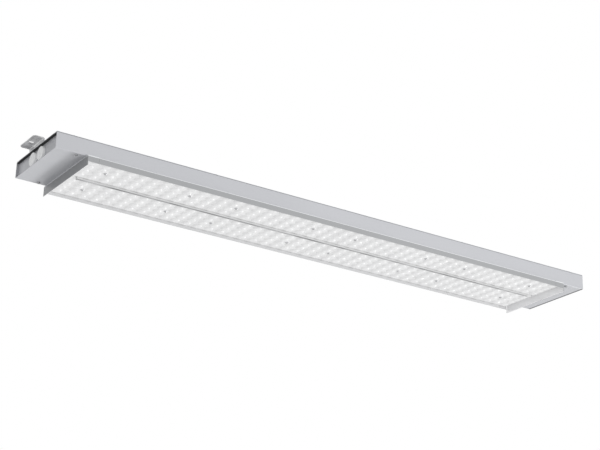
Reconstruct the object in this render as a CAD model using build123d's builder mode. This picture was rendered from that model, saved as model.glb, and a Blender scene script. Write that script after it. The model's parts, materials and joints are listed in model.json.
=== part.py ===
from build123d import *
import os

# Linear industrial light fixture with two rows of lens plates, hung by a slotted bracket at each end.
# Millimetres. X runs along the fixture, Y across it, +Z up, and the light leaves towards -Z.
# The origin is the centre of the two bracket slots, on the upper face of the bracket tongues.

# Driving sizes of the housing
body_length = 1500.0
body_width = 210.0
body_height = 39.0
body_sheet = 1.0
body_bend = 2.0
top_flange_width = 14.0
cover_sheet = 1.0
cover_corner = 1.0
end_recess = 5.5
end_wall_flange = 12.0
end_wall_corner = 1.5
seal_thickness = 1.5
seal_setback = 0.3
cover_screw_in = 42.0
cover_screws_per_side = 5

# Driving sizes of the hanging brackets
bracket_sheet = 2.0
bracket_rise = 9.0
bracket_bend = 2.6
bracket_width = 76.0
tongue_reach = 24.0
tongue_corner = 5.0
foot_length = 34.0
foot_screw_in = 18.7
foot_screw_side = 24.0
slot_out = 13.0
slot_length = 13.0
slot_width = 8.5

# Driving sizes of the light module
module_inset = 73.0
module_overhang = 7.5
module_sheet = 1.5
module_bend = 2.0
flange_drop = 14.5
end_plate_drop = 23.5
end_return = 27.0
end_tab = 6.0
end_plate_round = 1.2
rib_width = 7.0
rib_drop = 12.0
rib_wall = 1.2
rib_bend = 1.5

# Driving sizes of the lens plates and boards
plates_per_row = 4
lens_columns = 11
lens_rows = 4
lens_end_margin = 8.2
lens_edge_margin = 4.75
lens_gap = 2.0
lens_height = 4.0
lens_root = 0.5
lens_sides = 6
lens_sheet = 2.2
lens_face_drop = 7.4
skirt_wall = 1.6
lens_screw_columns = 2
board_thickness = 1.6
board_edge = 2.0

# Driving sizes of the gear inside the housing
gear_sheet = 1.2
gear_end_gap = 35.0
gear_upstand = 9.0
gear_screw_in = 52.0
gear_screw_edge = 9.0
driver_length = 340.0
driver_width = 42.0
driver_height = 29.0
driver_ear = 11.0
driver_ear_thickness = 2.0
driver_ear_width = 25.0
driver_chamfer = 3.0
driver_share = 0.44
driver_edge = 63.0
terminal_poles = 5
terminal_pitch = 10.0
terminal_depth = 24.0
terminal_height = 21.0
terminal_shoulder = 12.6
terminal_top = 12.0
terminal_in = 130.0
terminal_edge = 53.0
clamp_hole_radius = 1.8
clamp_hole_depth = 8.0
clamp_row_pitch = 6.0
earth_in = 60.0
earth_edge = 43.0
earth_base = 1.2
earth_length = 15.0

# Driving sizes of the cable grommets
grommet_flange_radius = 15.8
grommet_hole_radius = 12.5
grommet_back_radius = 14.5
grommet_flange_depth = 5.2
grommet_back_depth = 2.4
grommet_round = 1.2
grommet_wall = 1.4
grommet_dish = 1.0
grommet_sides = 16
grommet_offset = 21.0
grommet_drop = 2.5

# Thread and head sizes: shank radius, head radius, head height; small fasteners have few sides
m4 = (2.0, 4.0, 2.6)
m5 = (2.5, 4.8, 3.2)
nut_flats = 8.0
nut_height = 4.0
shank_sides = 6
head_sides = 8
screw_tip = 3.0

# Clearances
screw_clearance = 0.25
side_clearance = 0.3
gear_side_clearance = 1.0
plate_gap = 0.6
row_clearance = 1.0

# Levels, worked down from the bracket tongues
cover_top = -bracket_rise
cover_under = cover_top - cover_sheet
body_under = cover_top - body_height
floor_top = body_under + body_sheet
gear_top = floor_top + gear_sheet
tray_under = body_under - module_sheet
board_under = tray_under - board_thickness
lens_face = body_under - lens_face_drop
lens_inner = lens_face + lens_sheet

# Places along and across the fixture
half_length = body_length / 2
half_width = body_width / 2
module_length = body_length - 2 * module_inset
module_width = body_width + 2 * module_overhang
half_module = module_length / 2
wall_out = half_length - end_recess
slot_x = half_length + slot_out
flange_inner = module_width / 2 - module_sheet
row_y = (rib_width / 2 + flange_inner) / 2
plate_width = flange_inner - rib_width / 2 - 2 * row_clearance
lens_pitch_x = (module_length - 2 * lens_end_margin) / (plates_per_row * lens_columns)
lens_pitch_y = (plate_width - 2 * lens_edge_margin) / lens_rows
lens_radius = (min(lens_pitch_x, lens_pitch_y) - lens_gap) / 2
plate_pitch = lens_columns * lens_pitch_x
plate_length = plate_pitch - plate_gap
row_sides = (("front", -row_y), ("rear", row_y))
plate_xs = [(i - (plates_per_row - 1) / 2) * plate_pitch for i in range(plates_per_row)]
lens_screw_x = (lens_columns / 2 - lens_screw_columns) * lens_pitch_x
lens_screw_xs = [x + s for x in plate_xs for s in (-lens_screw_x, lens_screw_x)]
lens_screw_spots = [(x, y) for _, y in row_sides for x in lens_screw_xs]
module_screw_spots = [(x, 0) for x in plate_xs]
gear_screw_x = half_length - gear_screw_in
gear_screw_y = half_width - gear_screw_edge
gear_screw_spots = [(x, y) for x in (-gear_screw_x, gear_screw_x) for y in (-gear_screw_y, gear_screw_y)]
bracket_screw_x = half_length - foot_screw_in
bracket_screw_xs = (-bracket_screw_x, bracket_screw_x)
bracket_screw_spots = [(x, y) for x in bracket_screw_xs for y in (-foot_screw_side, foot_screw_side)]
cover_screw_y = half_width - top_flange_width / 2
cover_screw_x = half_length - cover_screw_in
cover_screw_pitch = 2 * cover_screw_x / (cover_screws_per_side - 1)
cover_screw_xs = [i * cover_screw_pitch - cover_screw_x for i in range(cover_screws_per_side)]
cover_screw_spots = [(x, y) for y in (-cover_screw_y, cover_screw_y) for x in cover_screw_xs]
driver_hole_x = driver_length / 2 - driver_ear / 2
driver_x = driver_share * half_length
driver_y = half_width - driver_edge
driver_spots = [("left", -driver_x, -driver_y), ("right", driver_x, driver_y)]
driver_screw_spots = [(x + s, y) for _, x, y in driver_spots for s in (-driver_hole_x, driver_hole_x)]
m4_hole = m4[0] + screw_clearance
m5_hole = m5[0] + screw_clearance

os.makedirs("parts", exist_ok=True)


def save(piece, name):
    """Label a finished solid and write it under its own name."""
    piece.label = name
    export_step(piece, f"parts/{name}.step")


def fold_section(points, bend, sheet):
    """Section of a folded sheet: its outer face follows the points, the sheet lies on their left."""
    with BuildSketch() as section:
        with BuildLine():
            FilletPolyline(*points, radius=bend)
            offset(amount=sheet, side=Side.LEFT)
        make_face()
    return section.sketch


def pan_screw(shank_length, thread):
    """Screw along +Z: seat at Z = 0, low head above it, shank below."""
    shank, head, rise = thread
    with BuildPart() as screw:
        with BuildSketch():
            RegularPolygon(head, head_sides)
        extrude(amount=rise)
        with BuildSketch():
            RegularPolygon(shank, shank_sides)
        extrude(amount=-shank_length)
    return screw.part


def hex_nut(thread):
    """Hexagon nut on Z = 0, its thread hole a snug fit on the shank."""
    with BuildPart() as nut:
        with BuildSketch():
            RegularPolygon(nut_flats / 2, 6, major_radius=False)
            RegularPolygon(thread[0], shank_sides, mode=Mode.SUBTRACT)
        extrude(amount=nut_height)
    return nut.part


def save_group(piece, spots, name):
    """Repeat one fastener at each spot and write the group of separate solids as one node."""
    save(Compound(children=[piece.moved(Location(spot)) for spot in spots]), name)


# Housing channel: floor and two sides in one folded sheet, with return flanges that carry the cover
channel_points = [
    (-half_width + top_flange_width, cover_under),
    (-half_width, cover_under),
    (-half_width, body_under),
    (half_width, body_under),
    (half_width, cover_under),
    (half_width - top_flange_width, cover_under),
]
with BuildPart() as housing_channel:
    with BuildSketch(Plane.YZ.offset(-half_length)):
        add(fold_section(channel_points, body_bend, body_sheet))
    extrude(amount=body_length)
    with BuildSketch(Plane.XY.offset(body_under)):
        with Locations(*gear_screw_spots, *module_screw_spots):
            RegularPolygon(m4_hole, shank_sides, major_radius=False)
    extrude(amount=body_sheet, mode=Mode.SUBTRACT)
    with BuildSketch(Plane.XY.offset(cover_under)):
        with Locations(*cover_screw_spots):
            RegularPolygon(m4_hole, shank_sides, major_radius=False)
    extrude(amount=-body_sheet, mode=Mode.SUBTRACT)
save(housing_channel.part, "housing_channel")

# Top cover: flat sheet on the return flanges, with holes for its own screws and the brackets
with BuildPart() as top_cover:
    with BuildSketch(Plane.XY.offset(cover_under)):
        RectangleRounded(body_length, body_width, radius=cover_corner)
        with Locations(*cover_screw_spots):
            RegularPolygon(m4_hole, shank_sides, major_radius=False, mode=Mode.SUBTRACT)
        with Locations(*bracket_screw_spots):
            RegularPolygon(m5_hole, shank_sides, major_radius=False, mode=Mode.SUBTRACT)
    extrude(amount=cover_sheet)
save(top_cover.part, "top_cover")

# End walls: recessed folded pans between floor and cover, notched under the return flanges
wall_half = half_width - body_sheet
notch_half = half_width - top_flange_width
notch_top = cover_under - body_sheet
grommet_z = (floor_top + cover_under) / 2 - grommet_drop
grommet_spots = (("front", -grommet_offset), ("rear", grommet_offset))
for side, sign in (("left", -1), ("right", 1)):
    with BuildPart() as end_wall:
        with BuildSketch(Plane.YZ.offset(sign * wall_out)):
            with BuildLine():
                Polyline(
                    (-wall_half + end_wall_corner, floor_top),
                    (wall_half - end_wall_corner, floor_top),
                    (wall_half, floor_top + end_wall_corner),
                    (wall_half, notch_top - end_wall_corner),
                    (wall_half - end_wall_corner, notch_top),
                    (notch_half, notch_top),
                    (notch_half, cover_under),
                    (-notch_half, cover_under),
                    (-notch_half, notch_top),
                    (-wall_half + end_wall_corner, notch_top),
                    (-wall_half, notch_top - end_wall_corner),
                    (-wall_half, floor_top + end_wall_corner),
                    close=True,
                )
            make_face()
            with Locations(*[(y, grommet_z) for _, y in grommet_spots]):
                RegularPolygon(grommet_hole_radius, grommet_sides, mode=Mode.SUBTRACT)
        extrude(amount=-sign * body_sheet)
        with BuildSketch(Plane.XY.offset(floor_top)):
            with Locations((sign * (wall_out - end_wall_flange / 2), 0)):
                Rectangle(end_wall_flange, 2 * (wall_half - end_wall_corner))
        extrude(amount=body_sheet)
    save(end_wall.part, f"end_wall_{side}")

# Cover seals: foam strips under the overhang of the cover and the return flanges, before each end wall
seal_depth = end_recess - seal_setback
for side, sign in (("left", -1), ("right", 1)):
    seal_x = sign * (wall_out + seal_depth / 2)
    with BuildPart() as cover_seal:
        with BuildSketch(Plane.XY.offset(notch_top)):
            with Locations((seal_x, 0)):
                Rectangle(seal_depth, 2 * (wall_half - end_wall_corner))
        extrude(amount=-seal_thickness)
        with BuildSketch(Plane.XY.offset(notch_top)):
            with Locations((seal_x, 0)):
                Rectangle(seal_depth, 2 * (notch_half - side_clearance))
        extrude(amount=cover_under - notch_top)
    save(cover_seal.part, f"cover_seal_{side}")

# Cable grommets: closed rubber membranes gripping the edge of a round hole in the end wall
dish_radius = grommet_flange_radius - 2 * grommet_wall
back_hollow_radius = grommet_hole_radius - grommet_wall
back_hollow_depth = body_sheet + grommet_back_depth + grommet_flange_depth - grommet_dish - grommet_wall
with BuildPart() as grommet:
    with BuildSketch():
        RegularPolygon(grommet_flange_radius, grommet_sides)
    extrude(amount=grommet_flange_depth)
    chamfer(grommet.edges().group_by(Axis.Z)[-1], length=grommet_round)
    with BuildSketch(Plane.XY.offset(grommet_flange_depth)):
        RegularPolygon(dish_radius, grommet_sides)
    extrude(amount=-grommet_dish, mode=Mode.SUBTRACT)
    with BuildSketch():
        RegularPolygon(grommet_hole_radius, grommet_sides)
    extrude(amount=-body_sheet)
    with BuildSketch(Plane.XY.offset(-body_sheet)):
        RegularPolygon(grommet_back_radius, grommet_sides)
    extrude(amount=-grommet_back_depth)
    with BuildSketch(Plane.XY.offset(-body_sheet - grommet_back_depth)):
        RegularPolygon(back_hollow_radius, grommet_sides)
    extrude(amount=back_hollow_depth, mode=Mode.SUBTRACT)
for side, sign in (("left", -1), ("right", 1)):
    for place, y in grommet_spots:
        seat = Plane(origin=(sign * wall_out, y, grommet_z), x_dir=(0, 1, 0), z_dir=(sign, 0, 0))
        save(seat.location * grommet.part, f"cable_grommet_{side}_{place}")

# Hanging brackets: a Z of thicker sheet, foot on the cover, slotted tongue beyond the body's end
bracket_points = [
    (half_length - foot_length, cover_top),
    (half_length, cover_top),
    (half_length, -bracket_sheet),
    (half_length + tongue_reach, -bracket_sheet),
]
for side, sign in (("left", -1), ("right", 1)):
    with BuildPart() as bracket:
        with BuildSketch(Plane.XZ.offset(-bracket_width / 2)):
            add(fold_section(bracket_points, bracket_bend, bracket_sheet))
        extrude(amount=bracket_width)
        with BuildSketch(Plane.XY):
            with Locations((slot_x, 0)):
                SlotOverall(slot_length, slot_width)
        extrude(amount=-bracket_sheet, mode=Mode.SUBTRACT)
        with BuildSketch(Plane.XY.offset(cover_top)):
            with Locations((bracket_screw_x, -foot_screw_side), (bracket_screw_x, foot_screw_side)):
                RegularPolygon(m5_hole, shank_sides, major_radius=False)
        extrude(amount=bracket_sheet, mode=Mode.SUBTRACT)
        tips = bracket.edges().filter_by(Axis.Z).group_by(Axis.X)[-1]
        chamfer(tips, length=tongue_corner)
        if sign < 0:
            mirror(about=Plane.YZ, mode=Mode.REPLACE)
    save(bracket.part, f"mounting_bracket_{side}")

# Fasteners of the brackets and the cover
bracket_screw = pan_screw(bracket_sheet + cover_sheet + nut_height + screw_tip, m5)
foot_top = cover_top + bracket_sheet
save_group(bracket_screw, [(x, y, foot_top) for x, y in bracket_screw_spots], "bracket_screws")
bracket_nut = hex_nut(m5)
save_group(bracket_nut, [(x, y, cover_under - nut_height) for x, y in bracket_screw_spots], "bracket_nuts")
cover_screw = pan_screw(cover_sheet + body_sheet + screw_tip, m4)
save_group(cover_screw, [(x, y, cover_top) for x, y in cover_screw_spots], "cover_screws")

# Gear tray: folded sheet on the housing floor with two low upstands, carrying the electrical gear
gear_length = body_length - 2 * gear_end_gap
gear_width = body_width - 2 * (body_sheet + gear_side_clearance)
gear_points = [
    (-gear_width / 2, floor_top + gear_upstand),
    (-gear_width / 2, floor_top),
    (gear_width / 2, floor_top),
    (gear_width / 2, floor_top + gear_upstand),
]
with BuildPart() as gear_tray:
    with BuildSketch(Plane.YZ.offset(-gear_length / 2)):
        add(fold_section(gear_points, body_bend, gear_sheet))
    extrude(amount=gear_length)
    with BuildSketch(Plane.XY.offset(floor_top)):
        with Locations(*gear_screw_spots, *module_screw_spots, *driver_screw_spots):
            RegularPolygon(m4_hole, shank_sides, major_radius=False)
    extrude(amount=gear_sheet, mode=Mode.SUBTRACT)
save(gear_tray.part, "gear_tray")
gear_screw = pan_screw(body_sheet + gear_sheet + nut_height + screw_tip, m4).rotate(Axis.X, 180)
save_group(gear_screw, [(x, y, body_under) for x, y in gear_screw_spots], "gear_tray_screws")
save_group(hex_nut(m4), [(x, y, gear_top) for x, y in gear_screw_spots], "gear_tray_nuts")

# LED drivers: long closed cases with a drilled ear at each end
with BuildPart() as driver:
    with BuildSketch():
        Rectangle(driver_length - 2 * driver_ear, driver_width)
    extrude(amount=driver_height)
    chamfer(driver.faces().sort_by(Axis.Z)[-1].edges().filter_by(Axis.X), length=driver_chamfer)
    with BuildSketch():
        Rectangle(driver_length, driver_ear_width)
        with Locations((-driver_hole_x, 0), (driver_hole_x, 0)):
            RegularPolygon(m4_hole, shank_sides, major_radius=False, mode=Mode.SUBTRACT)
    extrude(amount=driver_ear_thickness)
for name, x, y in driver_spots:
    save(driver.part.moved(Location((x, y, gear_top))), f"led_driver_{name}")
driver_screw = pan_screw(driver_ear_thickness + gear_sheet, m4)
driver_seat = gear_top + driver_ear_thickness
save_group(driver_screw, [(x, y, driver_seat) for x, y in driver_screw_spots], "driver_screws")

# Mains terminal block with a clamp screw hole over each side of each pole
terminal_length = terminal_poles * terminal_pitch
with BuildPart() as terminal_block:
    with BuildSketch(Plane.YZ.offset(-terminal_length / 2)):
        with BuildLine():
            Polyline(
                (-terminal_depth / 2, 0),
                (terminal_depth / 2, 0),
                (terminal_depth / 2, terminal_shoulder),
                (terminal_top / 2, terminal_height),
                (-terminal_top / 2, terminal_height),
                (-terminal_depth / 2, terminal_shoulder),
                close=True,
            )
        make_face()
    extrude(amount=terminal_length)
    with BuildSketch(Plane.XY.offset(terminal_height)):
        with GridLocations(terminal_pitch, clamp_row_pitch, terminal_poles, 2):
            RegularPolygon(clamp_hole_radius, head_sides)
    extrude(amount=-clamp_hole_depth, mode=Mode.SUBTRACT)
terminal_place = (terminal_in - half_length, half_width - terminal_edge, gear_top)
save(terminal_block.part.moved(Location(terminal_place)), "terminal_block")

# Earth stud welded to the gear tray, with its nut
earth_x = earth_in - half_length
earth_y = half_width - earth_edge
with BuildPart() as earth_stud:
    with BuildSketch():
        RegularPolygon(m5[1], head_sides)
    extrude(amount=earth_base)
    with BuildSketch(Plane.XY.offset(earth_base)):
        RegularPolygon(m5[0], shank_sides)
    extrude(amount=earth_length - earth_base)
save(earth_stud.part.moved(Location((earth_x, earth_y, gear_top))), "earth_stud")
save(hex_nut(m5).moved(Location((earth_x, earth_y, gear_top + earth_base))), "earth_nut")

# Module tray: folded aluminium sheet under the housing, its side flanges shielding the lens rows
tray_length = module_length - 2 * module_sheet
flange_length = module_length - 2 * end_return - 2 * side_clearance
tray_points = [
    (-module_width / 2, body_under - flange_drop),
    (-module_width / 2, body_under),
    (module_width / 2, body_under),
    (module_width / 2, body_under - flange_drop),
]
with BuildPart() as module_tray:
    with BuildSketch(Plane.YZ.offset(-flange_length / 2)):
        add(fold_section(tray_points[::-1], module_bend, module_sheet))
    extrude(amount=flange_length)
    with BuildSketch(Plane.XY.offset(body_under)):
        Rectangle(tray_length, 2 * (flange_inner - side_clearance))
    extrude(amount=-module_sheet)
    with BuildSketch(Plane.XY.offset(body_under)):
        with Locations(*lens_screw_spots, *module_screw_spots):
            RegularPolygon(m4[0], shank_sides)
    extrude(amount=-module_sheet, mode=Mode.SUBTRACT)
save(module_tray.part, "module_tray")

# End plates: deeper than the flanges, with a tab under the tray and side returns that end the flanges
return_y = module_width / 2 - module_sheet / 2
for side, sign in (("left", -1), ("right", 1)):
    plate_x = sign * half_module
    return_x = plate_x - sign * end_return / 2
    with BuildPart() as end_plate:
        with BuildSketch(Plane.YZ.offset(plate_x)):
            with Locations((0, body_under - end_plate_drop / 2)):
                Rectangle(module_width, end_plate_drop)
        extrude(amount=-sign * module_sheet)
        with BuildSketch(Plane.XY.offset(tray_under)):
            with Locations((plate_x - sign * end_tab / 2, 0)):
                Rectangle(end_tab, module_width - 2 * module_sheet)
        extrude(amount=-module_sheet)
        with BuildSketch(Plane.XY.offset(body_under)):
            with Locations((return_x, -return_y), (return_x, return_y)):
                Rectangle(end_return, module_sheet)
        extrude(amount=-flange_drop)
        corners = end_plate.edges().filter_by(Axis.Z).group_by(Axis.X)[0 if sign < 0 else -1]
        fillet(corners, radius=end_plate_round)
    save(end_plate.part, f"module_end_plate_{side}")

# Centre rib: narrow U between the two lens rows, screwed through the tray from inside the housing
rib_length = flange_length
rib_points = [
    (-rib_width / 2, tray_under),
    (-rib_width / 2, body_under - rib_drop),
    (rib_width / 2, body_under - rib_drop),
    (rib_width / 2, tray_under),
]
with BuildPart() as centre_rib:
    with BuildSketch(Plane.YZ.offset(-rib_length / 2)):
        add(fold_section(rib_points, rib_bend, rib_wall))
    extrude(amount=rib_length)
save(centre_rib.part, "centre_rib")
module_screw = pan_screw(gear_sheet + body_sheet + module_sheet + screw_tip, m4)
save_group(module_screw, [(x, y, gear_top) for x, y in module_screw_spots], "module_screws")

# LED board of one lens plate, drilled for the two lens screws
board_length = plate_length - 2 * (skirt_wall + board_edge)
board_width = plate_width - 2 * (skirt_wall + board_edge)
screw_places = [(-lens_screw_x, 0), (lens_screw_x, 0)]
with BuildPart() as led_board:
    with BuildSketch(Plane.XY.offset(tray_under)):
        Rectangle(board_length, board_width)
        with Locations(*screw_places):
            RegularPolygon(m4_hole, shank_sides, major_radius=False, mode=Mode.SUBTRACT)
    extrude(amount=-board_thickness)

# One lens of the lens plate: a six-sided dome, its root sunk into the plate
with BuildPart() as lens:
    with BuildSketch(Plane.XY.offset(lens_face + 2 * lens_root)):
        RegularPolygon(lens_radius, lens_sides, rotation=180 / lens_sides)
    extrude(amount=-lens_height - 2 * lens_root)
    chamfer(lens.edges().group_by(Axis.Z)[0], length=lens_height + lens_root)

# Moulded lens plate: skirt down to the tray, screw bosses down to the board, and a grid of lenses
boss_radius = m4[1] + screw_clearance
with BuildPart() as lens_plate:
    with BuildSketch(Plane.XY.offset(lens_face)):
        Rectangle(plate_length, plate_width)
    extrude(amount=tray_under - lens_face)
    with BuildSketch(Plane.XY.offset(lens_inner)):
        Rectangle(plate_length - 2 * skirt_wall, plate_width - 2 * skirt_wall)
        with Locations(*screw_places):
            RegularPolygon(boss_radius, head_sides, mode=Mode.SUBTRACT)
    extrude(amount=tray_under - lens_inner, mode=Mode.SUBTRACT)
    with BuildSketch(Plane.XY.offset(board_under)):
        with Locations(*screw_places):
            RegularPolygon(boss_radius, head_sides)
    extrude(amount=board_thickness, mode=Mode.SUBTRACT)
    with GridLocations(lens_pitch_x, lens_pitch_y, lens_columns, lens_rows):
        add(lens.part)
    with BuildSketch(Plane.XY.offset(lens_face)):
        with Locations(*screw_places):
            RegularPolygon(m4_hole, shank_sides, major_radius=False)
    extrude(amount=board_under - lens_face, mode=Mode.SUBTRACT)
for place, y in row_sides:
    for number, x in enumerate(plate_xs, 1):
        save(led_board.part.moved(Location((x, y, 0))), f"led_board_{place}_{number}")
        save(lens_plate.part.moved(Location((x, y, 0))), f"lens_plate_{place}_{number}")
lens_screw = pan_screw(tray_under - lens_face + module_sheet, m4).rotate(Axis.X, 180)
save_group(lens_screw, [(x, y, lens_face) for x, y in lens_screw_spots], "lens_screws")
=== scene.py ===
import json
import math

import bpy
from mathutils import Matrix, Vector

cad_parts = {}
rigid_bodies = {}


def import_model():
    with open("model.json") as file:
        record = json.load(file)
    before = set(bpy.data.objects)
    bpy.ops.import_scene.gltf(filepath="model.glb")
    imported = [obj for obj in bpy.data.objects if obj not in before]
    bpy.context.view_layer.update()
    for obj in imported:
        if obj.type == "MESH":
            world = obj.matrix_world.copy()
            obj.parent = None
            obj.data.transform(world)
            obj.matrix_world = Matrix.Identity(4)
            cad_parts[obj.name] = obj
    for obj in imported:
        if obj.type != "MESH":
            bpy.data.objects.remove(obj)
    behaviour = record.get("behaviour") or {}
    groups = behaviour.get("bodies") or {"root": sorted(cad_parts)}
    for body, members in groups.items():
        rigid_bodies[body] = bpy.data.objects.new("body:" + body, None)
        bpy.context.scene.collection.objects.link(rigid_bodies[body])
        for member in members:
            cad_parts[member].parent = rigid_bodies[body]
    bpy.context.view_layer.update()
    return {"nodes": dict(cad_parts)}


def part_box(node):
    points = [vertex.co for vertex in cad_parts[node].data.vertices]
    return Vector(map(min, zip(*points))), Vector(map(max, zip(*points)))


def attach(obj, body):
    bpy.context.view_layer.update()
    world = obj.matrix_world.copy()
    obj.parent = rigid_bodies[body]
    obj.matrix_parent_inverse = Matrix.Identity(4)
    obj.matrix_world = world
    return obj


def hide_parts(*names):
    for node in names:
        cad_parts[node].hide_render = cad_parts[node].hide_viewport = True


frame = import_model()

# Camera: it stands below and in front of the left end, about three and a half metres away,
# and looks up along the fixture through a long lens, as for a product photograph.
scene = bpy.context.scene
photo_width = 600
focal_pixels = 1585.8
sensor = 36.0
camera_place = Vector((-1.9719, -2.9796, -1.4107))
camera_heading = math.radians(57.33)
camera_rise = math.radians(21.33)
camera_roll = math.radians(1.70)

camera_data = bpy.data.cameras.new("photo_camera")
camera_data.sensor_width = sensor
camera_data.lens = sensor * focal_pixels / photo_width
camera_data.clip_end = 100.0
camera = bpy.data.objects.new("photo_camera", camera_data)
scene.collection.objects.link(camera)
scene.camera = camera
forward = Vector((
    math.cos(camera_rise) * math.cos(camera_heading),
    math.cos(camera_rise) * math.sin(camera_heading),
    math.sin(camera_rise),
))
level = forward.cross(Vector((0, 0, 1))).normalized()
upright = level.cross(forward)
across = level * math.cos(camera_roll) + upright * math.sin(camera_roll)
above = upright * math.cos(camera_roll) - level * math.sin(camera_roll)
camera.matrix_world = Matrix((
    (across.x, above.x, -forward.x, camera_place.x),
    (across.y, above.y, -forward.y, camera_place.y),
    (across.z, above.z, -forward.z, camera_place.z),
    (0, 0, 0, 1),
))


# Housing: the long channel, its top cover and its two recessed end walls are folded sheet steel,
# screwed together and powder-coated in one silver grey with a fine orange peel.
class Value:
    """A shader socket that can be used in sums: each operator adds one Math node."""

    def __init__(self, paint, socket):
        self.paint = paint
        self.socket = socket

    def math(self, operation, first, second):
        return self.paint.add("ShaderNodeMath", {"operation": operation}, {0: first, 1: second})

    def __add__(self, other):
        return self.math("ADD", self, other)

    def __radd__(self, other):
        return self.math("ADD", other, self)

    def __sub__(self, other):
        return self.math("SUBTRACT", self, other)

    def __rsub__(self, other):
        return self.math("SUBTRACT", other, self)

    def __mul__(self, other):
        return self.math("MULTIPLY", self, other)

    def __rmul__(self, other):
        return self.math("MULTIPLY", other, self)

    def __lt__(self, other):
        return self.math("LESS_THAN", self, other)

    def __gt__(self, other):
        return self.math("GREATER_THAN", self, other)

    def __abs__(self):
        return self.math("ABSOLUTE", self, 0.0)


class Paint:
    """One material: a shader whose constants are set on its sockets, and nodes for what varies."""

    def __init__(self, name, **constants):
        self.material = bpy.data.materials.new(name)
        self.material.use_nodes = True
        self.tree = self.material.node_tree
        self.tree.nodes.clear()
        out = self.tree.nodes.new("ShaderNodeOutputMaterial")
        self.shader = self.tree.nodes.new("ShaderNodeBsdfPrincipled")
        self.tree.links.new(self.shader.outputs[0], out.inputs[0])
        self.set(**constants)
        self.place = self.add("ShaderNodeTexCoord", {}, {}, "Object")

    def put(self, socket, value):
        if isinstance(value, Value):
            self.tree.links.new(value.socket, socket)
        else:
            socket.default_value = value

    def add(self, kind, settings, inputs, output=0):
        """Add a node with these settings and inputs and hand back one of its outputs."""
        node = self.tree.nodes.new(kind)
        for key, value in settings.items():
            setattr(node, key, value)
        for key, value in inputs.items():
            self.put(node.inputs[key], value)
        return Value(self, node.outputs[output])

    def noise(self, scale, detail=2.0, stretch=(1, 1, 1)):
        """Soft noise, scale in waves per metre."""
        place = self.add("ShaderNodeMapping", {}, {"Vector": self.place, "Scale": stretch})
        return self.add("ShaderNodeTexNoise", {}, {"Vector": place, "Scale": scale, "Detail": detail})

    def ramp(self, value, low, high):
        """Stretch a value so that low becomes 0 and high becomes 1."""
        return self.add("ShaderNodeMapRange", {}, {"Value": value, "From Min": low, "From Max": high})

    def along(self, axis):
        """Place along one axis, in metres."""
        return self.add("ShaderNodeSeparateXYZ", {}, {0: self.place}, axis)

    def blend(self, factor, first, second):
        """Mix two colours, each a socket or a plain colour."""
        first = first if isinstance(first, Value) else (*first, 1)
        second = second if isinstance(second, Value) else (*second, 1)
        return self.add("ShaderNodeMix", {"data_type": "RGBA"}, {0: factor, 6: first, 7: second}, 2)

    def bump(self, height, strength, distance):
        """Relief on the surface, its distance in metres."""
        inputs = {"Height": height, "Strength": strength, "Distance": distance}
        self.set(Normal=self.add("ShaderNodeBump", {}, inputs))

    def set(self, **inputs):
        for key, value in inputs.items():
            self.put(self.shader.inputs[key.replace("_", " ")], value)
        return self.material


def powder_coat(name, colour, shade, gloss=0.38, dark_line=None):
    """Powder coat: orange peel, flecks, a slight drift of tone, and a thin dark line beyond a corner (x, z).
    """
    drift_scale, fleck_scale, peel_scale, peel_depth = 5.0, 1440.0, 900.0, 0.0004
    paint = Paint(name, Metallic=0.15, Coat_Weight=0.12, Coat_Roughness=0.25)
    cloud = paint.ramp(paint.noise(drift_scale, 3.0, (0.6, 2.0, 2.0)), 0.35, 0.65)
    fleck = paint.ramp(paint.noise(fleck_scale, 1.0), 0.40, 0.62)
    tone = paint.blend(cloud * 0.4 + fleck * 0.3, colour, shade)
    if dark_line:
        in_dark_line = (paint.along("X") > dark_line[0]) * (paint.along("Z") < dark_line[1])
        tone = paint.blend(in_dark_line, tone, end_line_dark)
    rough = paint.ramp(paint.noise(40.0, 3.0), 0.2, 0.8) * 0.10 + gloss
    paint.bump(paint.noise(peel_scale, 2.0), 0.16, peel_depth)
    return paint.set(Base_Color=tone, Roughness=rough)


nodes = frame["nodes"]


def dress(material, *names):
    """Give a material to CAD nodes whose shape is right as it is."""
    for name in names:
        mesh = nodes[name].data
        mesh.materials.clear()
        mesh.materials.append(material)


# Colour of a thin dark line, painted only along the lower edge of the channel's right end.
end_line_dark = (0.09, 0.09, 0.095)
housing_grey = (0.535, 0.54, 0.56)
housing_shade = (0.49, 0.495, 0.515)
housing_paint = powder_coat("housing_silver_powder_coat", housing_grey, housing_shade)
dress(housing_paint, "top_cover", "end_wall_left", "end_wall_right")

# Channel: the same coat, with a thin dark line painted along the lower edge of its right end only,
# where it meets the end wall.
dark_line_width = 0.0055
dark_line_height = 0.0005
channel_low, channel_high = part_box("housing_channel")
dark_line_corner = (channel_high.x - dark_line_width, channel_low.z + dark_line_height)
channel_paint = powder_coat("channel_coat_with_dark_end_line", housing_grey, housing_shade, dark_line=dark_line_corner)
dress(channel_paint, "housing_channel")

# Cover seals: closed-cell foam, cut from sheet into strips with a glued back and pressed under
# the overhang of the cover above each end wall, to keep the dust out. The strips and their black are
# painted shade for the deep recess under the overhang.
# Painted shade: near-black foam for the shade under the cover's overhang.
seal_shade_black = (0.020, 0.020, 0.022)
foam_worn = (0.045, 0.045, 0.047)
foam = Paint("cover_seal_painted_shade_black", Specular_IOR_Level=0.2)
foam_cell = foam.add("ShaderNodeTexVoronoi", {}, {"Vector": foam.place, "Scale": 1400.0})
foam_tone = foam.blend(foam.ramp(foam_cell, 0.1, 0.8), seal_shade_black, foam_worn)
foam.bump(foam_cell, 0.3, 0.0003)
seal_shade_foam = foam.set(Base_Color=foam_tone, Roughness=foam.noise(300.0) * 0.1 + 0.75)
dress(seal_shade_foam, "cover_seal_left", "cover_seal_right")


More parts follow.
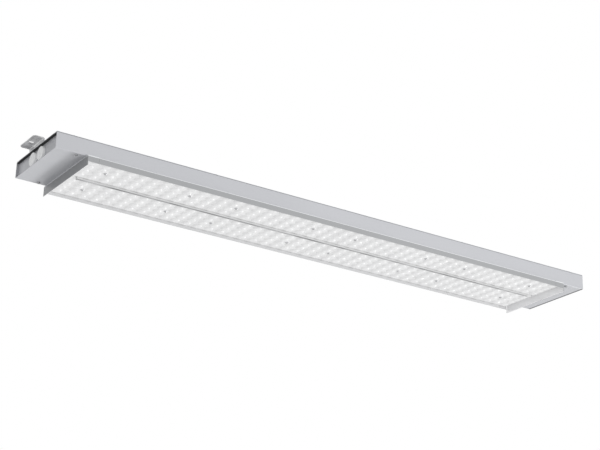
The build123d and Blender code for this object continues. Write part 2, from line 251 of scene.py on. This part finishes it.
# Cable grommets: moulded light-grey elastomer, each a bead that grips the hole's edge and a thin
# ringed membrane, pierced later by the cable. They are pushed into the end walls from outside.
# A faint white emission gives them a painted glow.
def new_piece(name, mesh):
    """Put a mesh in the scene as a piece at the origin."""
    piece = bpy.data.objects.new(name, mesh)
    scene.collection.objects.link(piece)
    return piece


def turned(name, outline, turns):
    """Mesh of (radius, height) points turned about the vertical axis, from a lower pole to an upper one."""
    points, faces, rings = [], [], []
    for radius, height in outline:
        if radius == 0:
            rings.append([len(points)])
            points.append((0, 0, height))
        else:
            rings.append(range(len(points), len(points) + turns))
            for k in range(turns):
                angle = 2 * math.pi * k / turns
                points.append((radius * math.cos(angle), radius * math.sin(angle), height))
    for low, high in zip(rings, rings[1:]):
        for k in range(turns):
            n = (k + 1) % turns
            if len(low) == 1:
                faces.append((low[0], high[n], high[k]))
            elif len(high) == 1:
                faces.append((low[k], low[n], high[0]))
            else:
                faces.append((low[k], low[n], high[n], high[k]))
    mesh = bpy.data.meshes.new(name)
    mesh.from_pydata(points, [], faces)
    mesh.update()
    return mesh


def smooth(mesh, degrees):
    """Smooth shading below an angle between faces."""
    for polygon in mesh.polygons:
        polygon.use_smooth = True
    mesh.set_sharp_from_angle(angle=math.radians(degrees))


def finish_piece(name, mesh, material, node):
    """Make a mesh a piece of the fixture, in place of a CAD node where one is named."""
    mesh.materials.clear()
    mesh.materials.append(material)
    piece = new_piece(name, mesh)
    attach(piece, "root")
    if node:
        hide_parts(node)
    return piece


grommet_light = (0.93, 0.93, 0.92)
grommet_shade = (0.86, 0.86, 0.86)
rubber = Paint(
    "grommet_grey_elastomer_painted_glow",
    Specular_IOR_Level=0.35,
    # Painted light: the faint white emission makes the grommets glow.
    Emission_Color=(1, 1, 1, 1),
    Emission_Strength=0.10,
)
rubber_cloud = rubber.ramp(rubber.noise(90.0, 3.0), 0.3, 0.7)
rubber.bump(rubber.noise(1800.0, 2.0), 0.12, 0.0003)
grommet_rubber = rubber.set(
    Base_Color=rubber.blend(rubber_cloud, grommet_light, grommet_shade),
    Roughness=rubber_cloud * 0.1 + 0.55,
)
grommet_turns = 48
grommet_crease = 35
grommet_outline = [
    (0.0, 0.0062),
    (0.0111, 0.0062),
    (0.0111, 0.0),
    (0.0136, 0.0),
    (0.0145, 0.0009),
    (0.0145, 0.0024),
    (0.0125, 0.0024),
    (0.0125, 0.0034),
    (0.0158, 0.0034),
    (0.0158, 0.0074),
    (0.0155, 0.0082),
    (0.0148, 0.0086),
    (0.0136, 0.0085),
    (0.0128, 0.0077),
    (0.0088, 0.0076),
    (0.0084, 0.0080),
    (0.0078, 0.0080),
    (0.0074, 0.0076),
    (0.0046, 0.0076),
    (0.0042, 0.0080),
    (0.0036, 0.0080),
    (0.0032, 0.0076),
    (0.0, 0.0076),
]
sides = ("left", "right")
rows = ("front", "rear")
for side in sides:
    for place in rows:
        node = f"cable_grommet_{side}_{place}"
        low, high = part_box(node)
        outward = -1 if side == "left" else 1
        back_x = high.x if side == "left" else low.x
        mesh = turned(node + "_mesh", grommet_outline[::-1], grommet_turns)
        mesh.transform(Matrix((
            (0, 0, outward, back_x),
            (0, 1, 0, (low.y + high.y) / 2),
            (-outward, 0, 0, (low.z + high.z) / 2),
            (0, 0, 0, 1),
        )))
        mesh.flip_normals()
        smooth(mesh, grommet_crease)
        finish_piece(f"rubber_{node}", mesh, grommet_rubber, node)

# Hanging brackets: zinc-plated steel, bent to a Z and left bare, with the cloudy tone of the plating
# and the faint streaks of rolled sheet.
zinc_light = (0.82, 0.82, 0.82)
zinc_dark = (0.46, 0.46, 0.47)
zinc = Paint("bracket_zinc_plate", Metallic=0.35)
zinc_streak = zinc.ramp(zinc.noise(60.0, 3.0, (1.0, 12.0, 12.0)), 0.3, 0.7)
zinc_cloud = zinc.ramp(zinc.noise(55.0, 3.0), 0.38, 0.62)
zinc.bump(zinc_streak, 0.10, 0.0002)
bracket_zinc = zinc.set(
    Base_Color=zinc.blend(zinc_streak * 0.2 + zinc_cloud * 0.8, zinc_light, zinc_dark),
    Roughness=zinc_cloud * 0.12 + 0.36,
)
dress(bracket_zinc, "mounting_bracket_left", "mounting_bracket_right")


# Screws of housing, brackets and gear: zinc-plated pan heads with a cross recess, each on a plain
# shank, driven through clearance holes into hexagon nuts or the sheet.
def pan_head(name, shank, head, rise, length, turns=24):
    """Pan-head screw along +Z: seat at zero, domed head above it, cross recess in its top."""
    arm, half, deep = head * 0.50, head * 0.13, rise * 0.5
    outline = [
        (shank * 0.7, -length),
        (shank, -length + shank * 0.4),
        (shank, 0.0),
        (head * 0.96, 0.0),
        (head, rise * 0.15),
        (head * 0.97, rise * 0.50),
        (head * 0.86, rise * 0.80),
        (head * 0.70, rise),
    ]
    points, faces = [], []
    for radius, height in outline:
        for k in range(turns):
            angle = 2 * math.pi * k / turns
            points.append((radius * math.cos(angle), radius * math.sin(angle), height))
    for ring in range(len(outline) - 1):
        for k in range(turns):
            n = (k + 1) % turns
            first = ring * turns
            faces.append((first + k, first + n, first + turns + n, first + turns + k))
    faces.append(tuple(range(turns - 1, -1, -1)))
    rim = (len(outline) - 1) * turns
    cross = [
        (arm, 0), (arm, half), (half, half), (half, arm),
        (0, arm), (-half, arm), (-half, half), (-arm, half),
        (-arm, 0), (-arm, -half), (-half, -half), (-half, -arm),
        (0, -arm), (half, -arm), (half, -half), (arm, -half),
    ]
    lip = len(points)
    points += [(x, y, rise) for x, y in cross]
    pit = len(points)
    points += [(x * 0.8, y * 0.8, rise - deep) for x, y in cross]
    quarter = turns // 4
    for q in range(4):
        arc = [rim + (q * quarter + k) % turns for k in range(quarter + 1)]
        inner = [lip + (q * 4 + k) % 16 for k in range(4, -1, -1)]
        faces.append(tuple(arc + inner))
    for k in range(16):
        n = (k + 1) % 16
        faces.append((lip + k, lip + n, pit + n, pit + k))
    faces.append(tuple(range(pit, pit + 16)))
    mesh = bpy.data.meshes.new(name)
    mesh.from_pydata(points, [], faces)
    mesh.update()
    return mesh


def instanced(name, shape, spots, material, turn=0.0, spin=0.0):
    """Repeat one shape at every spot with a Geometry Nodes tree and hand back one plain mesh.

    Turn tips each copy about X, and spin is the widest chance turn about its own axis.
    """
    tree = bpy.data.node_groups.new(name + "_tree", "GeometryNodeTree")
    tree.interface.new_socket("Geometry", in_out="INPUT", socket_type="NodeSocketGeometry")
    shape_socket = tree.interface.new_socket("Shape", in_out="INPUT", socket_type="NodeSocketObject")
    turn_socket = tree.interface.new_socket("Turn", in_out="INPUT", socket_type="NodeSocketVector")
    spin_socket = tree.interface.new_socket("Spin", in_out="INPUT", socket_type="NodeSocketFloat")
    paint_socket = tree.interface.new_socket("Finish", in_out="INPUT", socket_type="NodeSocketMaterial")
    tree.interface.new_socket("Geometry", in_out="OUTPUT", socket_type="NodeSocketGeometry")
    enter = tree.nodes.new("NodeGroupInput")
    leave = tree.nodes.new("NodeGroupOutput")
    info = tree.nodes.new("GeometryNodeObjectInfo")
    place = tree.nodes.new("GeometryNodeInstanceOnPoints")
    chance = tree.nodes.new("FunctionNodeRandomValue")
    twist = tree.nodes.new("ShaderNodeCombineXYZ")
    rotate = tree.nodes.new("GeometryNodeRotateInstances")
    real = tree.nodes.new("GeometryNodeRealizeInstances")
    paint = tree.nodes.new("GeometryNodeSetMaterial")
    chance.inputs["Seed"].default_value = 7
    link = tree.links.new
    link(enter.outputs["Geometry"], place.inputs["Points"])
    link(enter.outputs["Shape"], info.inputs["Object"])
    link(info.outputs["Geometry"], place.inputs["Instance"])
    link(enter.outputs["Turn"], place.inputs["Rotation"])
    link(enter.outputs["Spin"], chance.inputs[3])
    link(chance.outputs[1], twist.inputs["Z"])
    link(place.outputs["Instances"], rotate.inputs["Instances"])
    link(twist.outputs[0], rotate.inputs["Rotation"])
    link(rotate.outputs["Instances"], real.inputs["Geometry"])
    link(real.outputs["Geometry"], paint.inputs["Geometry"])
    link(enter.outputs["Finish"], paint.inputs["Material"])
    link(paint.outputs["Geometry"], leave.inputs["Geometry"])
    cloud = bpy.data.meshes.new(name + "_spots")
    cloud.from_pydata([tuple(spot) for spot in spots], [], [])
    carrier = new_piece(name + "_carrier", cloud)
    master = new_piece(name + "_master", shape)
    modifier = carrier.modifiers.new("repeat", "NODES")
    modifier.node_group = tree
    modifier[shape_socket.identifier] = master
    modifier[turn_socket.identifier] = (turn, 0.0, 0.0)
    modifier[spin_socket.identifier] = spin
    modifier[paint_socket.identifier] = material
    evaluated = carrier.evaluated_get(bpy.context.evaluated_depsgraph_get())
    mesh = bpy.data.meshes.new_from_object(evaluated)
    mesh.name = name
    bpy.data.objects.remove(carrier)
    bpy.data.objects.remove(master)
    return mesh


def islands(node):
    """Boxes of the separate solids in a node that groups like fasteners, found by nearness in X and Y."""
    near = 0.012
    clusters = []
    for vertex in nodes[node].data.vertices:
        for cluster in clusters:
            if abs(vertex.co.x - cluster[0].x) < near and abs(vertex.co.y - cluster[0].y) < near:
                cluster.append(vertex.co)
                break
        else:
            clusters.append([vertex.co])
    boxes = []
    for cluster in clusters:
        low = Vector([min(point[k] for point in cluster) for k in range(3)])
        high = Vector([max(point[k] for point in cluster) for k in range(3)])
        boxes.append((low, high))
    return boxes


def screws(node, size, material, upright=True):
    """Pan-head screws where the CAD node has its plain ones, of a (shank, head, rise) size."""
    shank, head, rise = size
    boxes = islands(node)
    length = boxes[0][1].z - boxes[0][0].z - rise
    spots = []
    for low, high in boxes:
        seat = high.z - rise if upright else low.z + rise
        spots.append(((low.x + high.x) / 2, (low.y + high.y) / 2, seat))
    shape = pan_head(node + "_shape", shank, head, rise, length)
    turn = 0.0 if upright else math.pi
    mesh = instanced(node + "_heads", shape, spots, material, turn, spin=math.pi)
    smooth(mesh, screw_crease)
    finish_piece(f"pan_{node}", mesh, material, node)


plate_bright = (0.46, 0.46, 0.47)
plate_dull = (0.32, 0.33, 0.34)
plated = Paint("fastener_zinc_plate", Metallic=0.9)
plated_cloud = plated.ramp(plated.noise(300.0, 3.0), 0.3, 0.7)
plated.bump(plated.noise(2500.0, 2.0), 0.10, 0.0001)
fastener_zinc = plated.set(
    Base_Color=plated.blend(plated_cloud, plate_bright, plate_dull),
    Roughness=plated_cloud * 0.14 + 0.26,
)
screw_crease = 35
m4 = (0.0020, 0.0040, 0.0026)
m5 = (0.0025, 0.0048, 0.0032)
screws("bracket_screws", m5, fastener_zinc)
for group in ("cover_screws", "driver_screws", "module_screws"):
    screws(group, m4, fastener_zinc)
screws("gear_tray_screws", m4, fastener_zinc, upright=False)
dress(fastener_zinc, "bracket_nuts", "gear_tray_nuts", "earth_stud", "earth_nut")

# Gear inside the housing: a galvanised tray with its spangle, two white driver cases and a pale
# polyamide terminal block, all hidden once the cover is on.
spangle_light = (0.70, 0.71, 0.72)
spangle_dark = (0.55, 0.56, 0.58)
spangle = Paint("gear_tray_galvanised", Metallic=0.8)
spangle_cell = spangle.add("ShaderNodeTexVoronoi", {}, {"Vector": spangle.place, "Scale": 120.0}, "Color")
spangle_tone = spangle.blend(spangle.ramp(spangle_cell, 0.0, 1.0), spangle_light, spangle_dark)
gear_sheet = spangle.set(Base_Color=spangle_tone, Roughness=spangle.noise(80.0) * 0.2 + 0.3)
dress(gear_sheet, "gear_tray")
driver_white = (0.78, 0.78, 0.77)
driver_shade = (0.72, 0.72, 0.71)
driver_coat = powder_coat("driver_case_white_coat", driver_white, driver_shade, gloss=0.45)
dress(driver_coat, "led_driver_left", "led_driver_right")
clamp_pale = (0.70, 0.70, 0.68)
clamp_shade = (0.63, 0.63, 0.61)
clamp = Paint("terminal_grey_polyamide")
clamp_cloud = clamp.ramp(clamp.noise(200.0, 3.0), 0.3, 0.7)
clamp.bump(clamp.noise(1500.0, 2.0), 0.15, 0.0002)
clamp_tone = clamp.blend(clamp_cloud, clamp_pale, clamp_shade)
terminal_plastic = clamp.set(Base_Color=clamp_tone, Roughness=clamp_cloud * 0.08 + 0.5)
dress(terminal_plastic, "terminal_block")

# Light module: its tray and its two end plates are folded aluminium, powder-coated a darker grey
# outside. Inside, round the lenses, the sheet is pale grey, and white on the end plates' inner faces:
# this lightness is painted light, for the light that the lens rows throw on it. Along the folded
# top edges a bright band is a painted highlight.
module_grey = (0.36, 0.365, 0.37)
module_shade = (0.32, 0.325, 0.33)
end_inner_lit_white = (0.97, 0.97, 0.97)
inside_shade = (0.93, 0.93, 0.94)
inside_lit_pale = (0.64, 0.64, 0.645)
painted_edge_highlight = (0.80, 0.81, 0.82)
module_skin = 0.0007
end_reach = 0.0040
highlight_band_height = 0.0022
end_low, end_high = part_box("module_end_plate_left")
module_half_length = -end_low.x
module_half_width = end_high.y
module_top = end_high.z
coat = Paint("module_coat_lit_inside_edge_highlight", Coat_Weight=0.15, Coat_Roughness=0.2)
coat_drift = coat.ramp(coat.noise(5.0, 3.0, (0.6, 2.0, 2.0)), 0.35, 0.65) * 0.4
coat_fleck = coat.ramp(coat.noise(1400.0, 1.0), 0.40, 0.62) * 0.3
coat_mix = coat_drift + coat_fleck
coat_in_x = abs(coat.along("X")) < module_half_length - module_skin
coat_in_y = abs(coat.along("Y")) < module_half_width - module_skin
coat_inside = coat_in_x * coat_in_y
# Painted highlight: a bright band along the folded top edges, where the bend catches light.
coat_highlight_band = coat.along("Z") > module_top - highlight_band_height
coat_outer = coat.blend(coat_highlight_band * 0.9, coat.blend(coat_mix, module_grey, module_shade), painted_edge_highlight)
# Painted light: the inside is lighter than the outside coat, and whitest on the end plates' inner faces.
coat_at_end = abs(coat.along("X")) > module_half_length - end_reach
coat_inner_lit = coat.blend(coat_at_end, inside_lit_pale, coat.blend(coat_mix, end_inner_lit_white, inside_shade))
coat.bump(coat.noise(900.0, 2.0), 0.10, 0.0004)
module_paint = coat.set(
    Base_Color=coat.blend(coat_inside, coat_outer, coat_inner_lit),
    Metallic=coat_inside * 0.35,
    Roughness=coat.ramp(coat.noise(40.0, 3.0), 0.2, 0.8) * 0.08 + 0.42 - coat_inside * 0.16,
)
dress(module_paint, "module_tray", "module_end_plate_left", "module_end_plate_right")

# Centre rib: a narrow folded U between the lens rows, white on its sides like the inside of the tray,
# with a small plug that closes each open end. Its face is painted shade: dark grey, mottled darker,
# for the shadowed gap along the rib.
rib_pale = (0.52, 0.52, 0.52)
rib_paler = (0.59, 0.59, 0.59)
rib_face_shade = (0.46, 0.46, 0.465)
rib_face_deep_shade = (0.14, 0.14, 0.145)
rib_low, rib_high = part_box("centre_rib")
rib_face = 0.0005
rib = Paint("rib_white_sides_painted_shade_face", Coat_Weight=0.15, Coat_Roughness=0.2)
rib_cloud = rib.ramp(rib.noise(30.0, 3.0), 0.3, 0.7)
rib_side = rib.blend(rib_cloud, rib_pale, rib_paler)
rib_shade_mottle = rib.ramp(rib.noise(14.0, 2.0), 0.35, 0.65)
# Painted shade: the rib's face is dark grey with a darker mottle.
rib_painted_shade = rib.blend(rib_shade_mottle, rib_face_shade, rib_face_deep_shade)
rib_is_face = rib.along("Z") < rib_low.z + rib_face
rib.bump(rib.noise(900.0, 2.0), 0.08, 0.0004)
rib_paint = rib.set(Base_Color=rib.blend(rib_is_face, rib_side, rib_painted_shade), Roughness=rib_cloud * 0.08 + 0.38)
dress(rib_paint, "centre_rib")


def block(name, low, high):
    """Plain box between two corners."""
    points = [(x, y, z) for z in (low[2], high[2]) for y in (low[1], high[1]) for x in (low[0], high[0])]
    faces = [(0, 2, 3, 1), (4, 5, 7, 6), (0, 1, 5, 4), (2, 6, 7, 3), (0, 4, 6, 2), (1, 3, 7, 5)]
    mesh = bpy.data.meshes.new(name)
    mesh.from_pydata(points, [], faces)
    mesh.update()
    return mesh


plug_depth = 0.004
plug_inset = 0.0013
for side in sides:
    end_x = rib_low.x if side == "left" else rib_high.x
    inner_x = end_x + (plug_depth if side == "left" else -plug_depth)
    plug = block(
        f"rib_plug_{side}_mesh",
        (min(end_x, inner_x), rib_low.y + plug_inset, rib_low.z + plug_inset),
        (max(end_x, inner_x), rib_high.y - plug_inset, rib_high.z),
    )
    finish_piece(f"rib_plug_{side}", plug, rib_paint, None)

# LED boards: aluminium boards under a white solder resist, one behind each lens plate, with one
# small packaged lamp under every lens.
resist_white = (0.93, 0.93, 0.93)
resist_shade = (0.88, 0.88, 0.89)
resist = Paint("board_white_resist", Coat_Weight=0.2)
resist_cloud = resist.ramp(resist.noise(60.0, 3.0), 0.3, 0.7)
board_white = resist.set(
    Base_Color=resist.blend(resist_cloud, resist_white, resist_shade),
    Roughness=resist_cloud * 0.1 + 0.35,
)
plate_numbers = (1, 2, 3, 4)
dress(board_white, *[f"led_board_{row}_{number}" for row in rows for number in plate_numbers])
phosphor_pale = (0.90, 0.86, 0.66)
phosphor_warm = (0.86, 0.80, 0.56)
phosphor = Paint("lamp_pale_phosphor", Coat_Weight=0.5, Coat_Roughness=0.1)
phosphor_cloud = phosphor.ramp(phosphor.noise(900.0, 2.0), 0.3, 0.7)
lamp_phosphor = phosphor.set(
    Base_Color=phosphor.blend(phosphor_cloud, phosphor_pale, phosphor_warm),
    Roughness=phosphor_cloud * 0.1 + 0.3,
)
lens_columns = 11
lens_lines = 4
lens_pitch_x = 0.0304
lens_pitch_y = 0.0240
lamp_half = 0.0015
lamp_height = 0.0007


def lens_spots(low, high, level):
    """Centres of the lenses of one plate, at one level."""
    centre = (low + high) / 2
    return [
        (
            centre.x + (column - (lens_columns - 1) / 2) * lens_pitch_x,
            centre.y + (line - (lens_lines - 1) / 2) * lens_pitch_y,
            level,
        )
        for column in range(lens_columns)
        for line in range(lens_lines)
    ]


for row in rows:
    for number in plate_numbers:
        low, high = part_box(f"led_board_{row}_{number}")
        lamp = block("lamp_shape", (-lamp_half, -lamp_half, -lamp_height), (lamp_half, lamp_half, 0.0))
        lamps = instanced(f"lamps_{row}_{number}", lamp, lens_spots(low, high, low.z), lamp_phosphor)
        finish_piece(f"board_lamps_{row}_{number}", lamps, lamp_phosphor, None)

# Lens plates: clear acrylic, injection-moulded in one piece with a skirt and a grid of round lenses.
# A white emission gives each plate a painted glow over its white board, which lifts and evens its tone.
acrylic_light = (0.35, 0.35, 0.35)
acrylic_shade = (0.27, 0.27, 0.275)
acrylic = Paint(
    "lens_acrylic_painted_glow",
    IOR=1.49,
    Coat_Weight=0.08,
    Coat_Roughness=0.2,
    Alpha=0.88,
    # Painted light: the emission makes the lens plates glow.
    Emission_Color=(0.98, 0.98, 0.98, 1),
    Emission_Strength=0.46,
)
acrylic_flow = acrylic.ramp(acrylic.noise(35.0, 3.0, (1.0, 1.6, 1.0)), 0.3, 0.7)
acrylic.bump(acrylic.noise(160.0, 2.0), 0.04, 0.0006)
lens_acrylic = acrylic.set(
    Base_Color=acrylic.blend(acrylic_flow, acrylic_light, acrylic_shade),
    Roughness=acrylic_flow * 0.10 + 0.40,
)
lens_radius = 0.0112
lens_crown = 0.0040
lens_dimple = 0.0009
plate_sheet = 0.0022
plate_corner = 0.0012
plate_wall = 0.0016
lens_steps = 8
lens_turns = 20
lens_crease = 40
lens_outline = [(0.0, lens_crown - lens_dimple)]
for step in range(1, lens_steps):
    share = step / lens_steps
    dip = lens_dimple * (1 - min(1.0, share * 2.2)) ** 2
    lens_outline.append((lens_radius * share, lens_crown * math.sqrt(1 - share ** 2.6) - dip))
lens_outline.append((lens_radius, 0.0003))
lens_outline.append((lens_radius, -plate_sheet * 0.25))
lens_outline.append((0.0, -plate_sheet * 0.25))
seat_rise = 0.0005
seat_outline = [
    (0.0, seat_rise),
    (0.0052, seat_rise),
    (0.0058, 0.0),
    (0.0058, -plate_sheet * 0.25),
    (0.0, -plate_sheet * 0.25),
]


def plate_body(low, high, face):
    """Moulded tray: outer face with a rounded rim, skirt up to the module tray, hollow inside."""
    centre, half = (low + high) / 2, (high - low) / 2
    rings = (
        (plate_corner, face),
        (plate_corner * 0.3, face + plate_corner * 0.3),
        (0.0, face + plate_corner),
        (0.0, high.z),
        (plate_wall, high.z),
        (plate_wall, face + plate_sheet),
    )
    points, faces = [], []
    for inset, height in rings:
        for sx, sy in ((-1, -1), (1, -1), (1, 1), (-1, 1)):
            points.append((centre.x + sx * (half.x - inset), centre.y + sy * (half.y - inset), height))
    last = 4 * (len(rings) - 1)
    for first in range(0, last, 4):
        for k in range(4):
            n = (k + 1) % 4
            faces.append((first + k, first + n, first + 4 + n, first + 4 + k))
    faces.append((3, 2, 1, 0))
    faces.append((last, last + 1, last + 2, last + 3))
    mesh = bpy.data.meshes.new("plate_body")
    mesh.from_pydata(points, [], faces)
    mesh.update()
    return mesh


def joined(*meshes):
    """One mesh from several that share a material."""
    pieces = [new_piece(f"join_{k}", mesh) for k, mesh in enumerate(meshes)]
    for other in bpy.context.view_layer.objects:
        other.select_set(False)
    for piece in pieces:
        piece.select_set(True)
    bpy.context.view_layer.objects.active = pieces[0]
    bpy.ops.object.join()
    mesh = pieces[0].data
    bpy.data.objects.remove(pieces[0])
    return mesh


screw_centres = [((low.x + high.x) / 2, (low.y + high.y) / 2) for low, high in islands("lens_screws")]
for row in rows:
    for number in plate_numbers:
        node = f"lens_plate_{row}_{number}"
        low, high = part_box(node)
        face = low.z + lens_crown
        seats = [(x, y, face) for x, y in screw_centres if low.x < x < high.x and low.y < y < high.y]
        spots = lens_spots(low, high, face)
        lens_shape = turned("lens_shape", lens_outline[::-1], lens_turns)
        seat_shape = turned("seat_shape", seat_outline[::-1], lens_turns)
        plate = joined(
            plate_body(low, high, face),
            instanced(f"lenses_{row}_{number}", lens_shape, spots, lens_acrylic, math.pi),
            instanced(f"seats_{row}_{number}", seat_shape, seats, lens_acrylic, math.pi),
        )
        smooth(plate, lens_crease)
        finish_piece(f"moulded_{node}", plate, lens_acrylic, node)

# Lens screws: stainless steel with the same pan head, two in each lens plate, driven through the plate
# and its board into the module tray.
steel_light = (0.60, 0.60, 0.61)
steel_dark = (0.48, 0.48, 0.49)
stainless = Paint("lens_screw_stainless", Metallic=0.7)
stainless_cloud = stainless.ramp(stainless.noise(400.0, 3.0), 0.3, 0.7)
lens_screw_steel = stainless.set(
    Base_Color=stainless.blend(stainless_cloud, steel_light, steel_dark),
    Roughness=stainless_cloud * 0.1 + 0.30,
)
screws("lens_screws", m4, lens_screw_steel, upright=False)

# Stage: a plain pale floor about two metres below, as under a ceiling fixture. The backdrop is white
# to the camera, to mirrors and through glass, and gives an even dimmer light.
floor_drop = 2.2
floor_half = 1.5
floor_pale = (0.86, 0.86, 0.86)
floor_shade = (0.82, 0.82, 0.82)
floor_mesh = bpy.data.meshes.new("pale_floor")
floor_mesh.from_pydata(
    [(x * floor_half, y * floor_half, -floor_drop) for x, y in ((-1, -1), (1, -1), (1, 1), (-1, 1))],
    [],
    [(0, 1, 2, 3)],
)
floor = new_piece("pale_floor", floor_mesh)
floor_paint = Paint("pale_floor_paint", Roughness=0.8)
floor_tone = floor_paint.blend(floor_paint.noise(1.5, 2.0), floor_pale, floor_shade)
floor_mesh.materials.append(floor_paint.set(Base_Color=floor_tone))

studio_tint = (0.97, 0.98, 1.0, 1)
studio_level = 0.54
backdrop_white = (1, 1, 1, 1)
world = bpy.data.worlds.new("soft_studio")
scene.world = world
world.use_nodes = True
sky = world.node_tree
sky.nodes.clear()
sky_out = sky.nodes.new("ShaderNodeOutputWorld")
sky_light = sky.nodes.new("ShaderNodeBackground")
sky_seen = sky.nodes.new("ShaderNodeBackground")
sky_mix = sky.nodes.new("ShaderNodeMixShader")
sky_path = sky.nodes.new("ShaderNodeLightPath")
sky_any = sky.nodes.new("ShaderNodeMath")
sky_all = sky.nodes.new("ShaderNodeMath")
sky_any.operation = "MAXIMUM"
sky_all.operation = "MAXIMUM"
sky_light.inputs["Color"].default_value = studio_tint
sky_light.inputs["Strength"].default_value = studio_level
sky_seen.inputs["Color"].default_value = backdrop_white
sky_seen.inputs["Strength"].default_value = 1.0
sky.links.new(sky_path.outputs["Is Camera Ray"], sky_any.inputs[0])
sky.links.new(sky_path.outputs["Is Glossy Ray"], sky_any.inputs[1])
sky.links.new(sky_any.outputs[0], sky_all.inputs[0])
sky.links.new(sky_path.outputs["Is Transmission Ray"], sky_all.inputs[1])
sky.links.new(sky_all.outputs[0], sky_mix.inputs[0])
sky.links.new(sky_light.outputs[0], sky_mix.inputs[1])
sky.links.new(sky_seen.outputs[0], sky_mix.inputs[2])
sky.links.new(sky_mix.outputs[0], sky_out.inputs[0])


# Lights: one soft box in front and to the right, and a wide soft light from the right and below, as
# from a bounced flash, that gives the short shadows beside the end plates. The box leaves no glare.
def add_light(name, kind, energy, heading):
    """Light at the origin that shines along a heading."""
    data = bpy.data.lights.new(name, kind)
    data.energy = energy
    lamp = bpy.data.objects.new(name, data)
    scene.collection.objects.link(lamp)
    lamp.rotation_euler = heading.to_track_quat("-Z", "Y").to_euler()
    return lamp


box_place = Vector((0.6, -3.0, -0.85))
box_aim = Vector((0.2, 0, -0.05))
box_watts = 61
box_size = 1.2
box = add_light("front_soft_box", "AREA", box_watts, box_aim - box_place)
box.location = box_place
box.data.size = box_size
box.visible_glossy = False
bounce_heading = Vector((-1.0, -0.20, 0.66))
bounce_level = 1.45
bounce_spread = 14
bounce = add_light("right_bounce", "SUN", bounce_level, bounce_heading)
bounce.data.angle = math.radians(bounce_spread)

# Plain view of the colours.
scene.view_settings.view_transform = "Standard"
